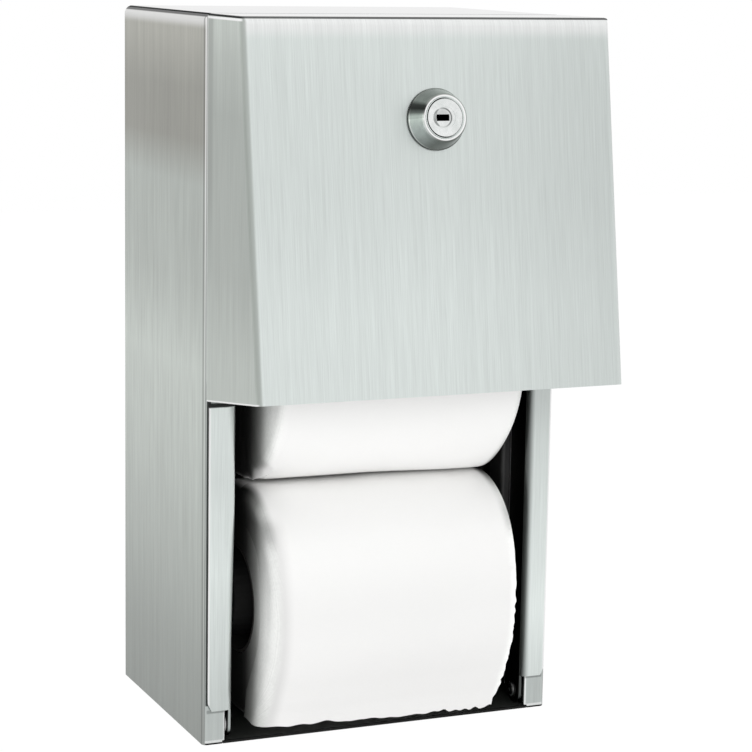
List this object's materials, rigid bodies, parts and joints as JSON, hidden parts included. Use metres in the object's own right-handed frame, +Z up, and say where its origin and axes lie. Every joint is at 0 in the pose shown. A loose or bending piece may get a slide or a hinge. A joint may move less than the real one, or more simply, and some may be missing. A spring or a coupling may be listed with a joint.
{
  "type": "double toilet roll holder",
  "caption": "Wall-mounted sheet-steel toilet roll dispenser with a sloped lockable hood on tilt-down legs, one roll in use and a reserve roll above it.",
  "frame": {"origin": "middle of the flat face that lies on the wall", "axes": "+X to the right as seen from the front, +Y into the wall, +Z up; the door faces -Y"},
  "size_m": [0.15, 0.1605, 0.285],
  "materials": {
    "brushed_sheet_steel": "vertical satin grain",
    "mill_steel": "plain mill finish, darker",
    "lock_chrome": "bright",
    "tissue_paper": "soft white",
    "core_board": "grey brown",
    "black_plastic": "matte",
    "pale_nylon": "plain"
  },
  "bodies": {
    "cabinet": {"cabinet_shell": "brushed_sheet_steel", "back_plate": "mill_steel", "bottom_pan": "mill_steel", "guide_channel_left": "mill_steel", "guide_channel_right": "mill_steel", "latch_keeper": "mill_steel", "keeper_rivet_left": "brushed_sheet_steel", "keeper_rivet_right": "brushed_sheet_steel", "pivot_rivet_left": "brushed_sheet_steel", "pivot_rivet_right": "brushed_sheet_steel", "pivot_washer_left": "pale_nylon", "pivot_washer_right": "pale_nylon", "lower_spindle_barrel": "black_plastic", "lower_spindle_spring": "mill_steel"},
    "door": {"door_hood": "brushed_sheet_steel", "door_leg_left": "brushed_sheet_steel", "door_leg_right": "brushed_sheet_steel", "lock_bezel": "lock_chrome", "lock_body": "lock_chrome", "lock_nut": "mill_steel"},
    "lock": {"lock_plug": "lock_chrome", "lock_cam": "mill_steel", "cam_screw": "mill_steel"},
    "lower_roll": {"lower_paper_roll": "tissue_paper", "lower_roll_core": "core_board"},
    "lower_plunger": {"lower_spindle_plunger": "black_plastic"},
    "reserve_spindle": {"upper_spindle_barrel": "black_plastic", "upper_spindle_spring": "mill_steel"},
    "reserve_roll": {"upper_paper_roll": "tissue_paper", "upper_roll_core": "core_board"},
    "reserve_plunger": {"upper_spindle_plunger": "black_plastic"}
  },
  "joints": [
    {"name": "door_hinge", "type": "hinge", "parent": "cabinet", "child": "door", "pos_m": [0, -0.0955, -0.1357], "axis": [1, 0, 0], "range_deg": [0, 75]},
    {"name": "lock_turn", "type": "hinge", "parent": "door", "child": "lock", "pos_m": [0, -0.14516, 0.1051], "axis": [0, -0.9887, 0.1496], "range_deg": [0, 90]},
    {"name": "lower_roll_spin", "type": "hinge", "parent": "cabinet", "child": "lower_roll", "pos_m": [0, -0.071, -0.0921], "axis": [1, 0, 0], "continuous": true},
    {"name": "lower_plunger_push", "type": "slide", "parent": "cabinet", "child": "lower_plunger", "axis": [-1, 0, 0], "range_m": [0, 0.007], "stiffness_N_per_m": 300, "springref_m": -0.008, "deforming": ["lower_spindle_spring"]},
    {"name": "reserve_slide", "type": "slide", "parent": "cabinet", "child": "reserve_spindle", "axis": [0, 0, 1], "range_m": [0, 0.05]},
    {"name": "reserve_roll_spin", "type": "hinge", "parent": "reserve_spindle", "child": "reserve_roll", "pos_m": [0, -0.071, 0.0096], "axis": [1, 0, 0], "continuous": true},
    {"name": "reserve_plunger_push", "type": "slide", "parent": "reserve_spindle", "child": "reserve_plunger", "axis": [-1, 0, 0], "range_m": [0, 0.007], "stiffness_N_per_m": 300, "springref_m": -0.008, "deforming": ["upper_spindle_spring"]}
  ]
}
